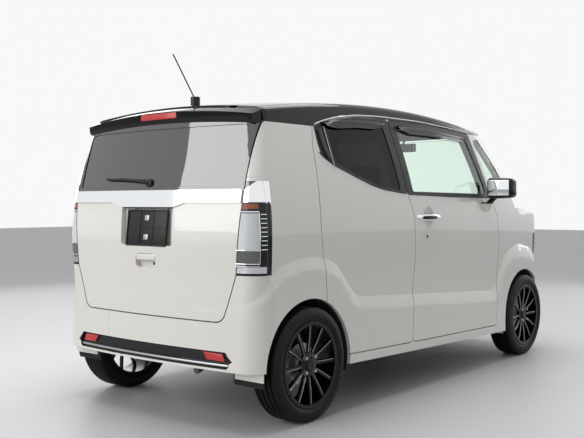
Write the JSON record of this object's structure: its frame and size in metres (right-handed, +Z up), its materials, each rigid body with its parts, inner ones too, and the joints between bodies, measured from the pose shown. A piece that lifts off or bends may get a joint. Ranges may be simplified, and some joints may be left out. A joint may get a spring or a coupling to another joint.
{
  "type": "kei car",
  "caption": "Tall five-door kei-class hatchback, right-hand drive, with opening doors, tailgate and bonnet, steered front wheels and a hollow cabin.",
  "frame": {"origin": "on the ground, below the middle of the overall length and width", "axes": "+X forward along the body, +Y to the left, +Z up"},
  "size_m": [3.3949, 1.824, 1.866],
  "materials": {
    "body_white": "pearl gloss",
    "roof_black": "gloss",
    "clear_glass": "clear, faint green",
    "dark_glass": "dark tint",
    "black_plastic": "satin",
    "underbody": "matt",
    "engine_metal": "cast",
    "exhaust_steel": "dull",
    "red_lens": "clear lens",
    "chrome": "polished",
    "trim_grey": "grained",
    "seat_fabric": "woven",
    "cast_iron": "bare",
    "tyre": "rubber",
    "rim_black": "gloss with machined edges"
  },
  "bodies": {
    "body": {"side_frames": "body_white", "roof_panel": "roof_black", "floor_pan": "underbody", "front_wings": "body_white", "front_bumper": "body_white", "rear_bumper": "body_white", "windscreen": "clear_glass", "quarter_windows": "clear_glass", "cowl_panel": "black_plastic", "grille": "black_plastic", "head_lamps": "clear_glass", "tail_lamps": "red_lens", "lamp_caps": "chrome", "sill_garnishes": "body_white", "mudguards": "body_white", "wheelhouses": "black_plastic", "engine_block": "engine_metal", "radiator": "black_plastic", "front_subframe": "underbody", "rear_axle": "underbody", "exhaust": "exhaust_steel", "fuel_tank": "underbody", "dashboard": "trim_grey", "seats": "seat_fabric", "antenna": "black_plastic"},
    "tailgate": {"tailgate": "body_white", "tailgate_glass": "dark_glass", "tailgate_garnish": "chrome", "spoiler": "roof_black", "rear_wiper": "black_plastic"},
    "bonnet": {"bonnet": "body_white"},
    "steering_wheel": {"steering_wheel": "trim_grey"},
    "front_door_left": {"door_front_left": "body_white", "door_glass_front_left": "clear_glass", "door_mirror_left": "black_plastic", "door_handle_left": "chrome"},
    "rear_door_left": {"door_rear_left": "body_white", "door_glass_rear_left": "dark_glass"},
    "knuckle_left": {"knuckle_left": "cast_iron"},
    "wheel_front_left": {"tyre_front_left": "tyre", "rim_front_left": "rim_black"},
    "wheel_rear_left": {"tyre_rear_left": "tyre", "rim_rear_left": "rim_black"},
    "front_door_right": {"door_front_right": "body_white", "door_glass_front_right": "clear_glass", "door_mirror_right": "black_plastic", "door_handle_right": "chrome"},
    "rear_door_right": {"door_rear_right": "body_white", "door_glass_rear_right": "dark_glass"},
    "knuckle_right": {"knuckle_right": "cast_iron"},
    "wheel_front_right": {"tyre_front_right": "tyre", "rim_front_right": "rim_black"},
    "wheel_rear_right": {"tyre_rear_right": "tyre", "rim_rear_right": "rim_black"}
  },
  "joints": [
    {"name": "front_door_hinge_left", "type": "hinge", "parent": "body", "child": "front_door_left", "pos_m": [0.885, 0.69971, 0.9], "axis": [0, 0, -1], "range_deg": [0, 65]},
    {"name": "rear_door_hinge_left", "type": "hinge", "parent": "body", "child": "rear_door_left", "pos_m": [-0.22, 0.70811, 0.9], "axis": [0, 0, -1], "range_deg": [0, 65]},
    {"name": "steering_axis_left", "type": "hinge", "parent": "body", "child": "knuckle_left", "pos_m": [1.27, 0.6065, 0.285], "axis": [0, -0.1564, 0.9877], "range_deg": [-35, 35]},
    {"name": "front_hub_left", "type": "hinge", "parent": "knuckle_left", "child": "wheel_front_left", "pos_m": [1.27, 0.6525, 0.285], "axis": [0, 1, 0], "continuous": true},
    {"name": "rear_hub_left", "type": "hinge", "parent": "body", "child": "wheel_rear_left", "pos_m": [-1.25, 0.6525, 0.285], "axis": [0, 1, 0], "continuous": true},
    {"name": "front_door_hinge_right", "type": "hinge", "parent": "body", "child": "front_door_right", "pos_m": [0.885, -0.69971, 0.9], "axis": [0, 0, 1], "range_deg": [0, 65]},
    {"name": "rear_door_hinge_right", "type": "hinge", "parent": "body", "child": "rear_door_right", "pos_m": [-0.22, -0.70811, 0.9], "axis": [0, 0, 1], "range_deg": [0, 65]},
    {"name": "steering_axis_right", "type": "hinge", "parent": "body", "child": "knuckle_right", "pos_m": [1.27, -0.6065, 0.285], "axis": [0, 0.1564, 0.9877], "range_deg": [-35, 35]},
    {"name": "front_hub_right", "type": "hinge", "parent": "knuckle_right", "child": "wheel_front_right", "pos_m": [1.27, -0.6525, 0.285], "axis": [0, 1, 0], "continuous": true},
    {"name": "rear_hub_right", "type": "hinge", "parent": "body", "child": "wheel_rear_right", "pos_m": [-1.25, -0.6525, 0.285], "axis": [0, 1, 0], "continuous": true},
    {"name": "tailgate_hinge", "type": "hinge", "parent": "body", "child": "tailgate", "pos_m": [-1.4505, 0, 1.556], "axis": [0, 1, 0], "range_deg": [0, 78]},
    {"name": "bonnet_hinge", "type": "hinge", "parent": "body", "child": "bonnet", "pos_m": [1.165, 0, 1.046], "axis": [0, -1, 0], "range_deg": [0, 45]},
    {"name": "steering_column", "type": "hinge", "parent": "body", "child": "steering_wheel", "pos_m": [0.52, -0.35, 0.92], "axis": [-0.9135, 0, 0.4067], "range_deg": [-560, 560]}
  ],
  "couplings": [
    {"joint": "steering_axis_right", "follows": "steering_axis_left", "ratio": 1},
    {"joint": "steering_column", "follows": "steering_axis_left", "ratio": 16}
  ]
}
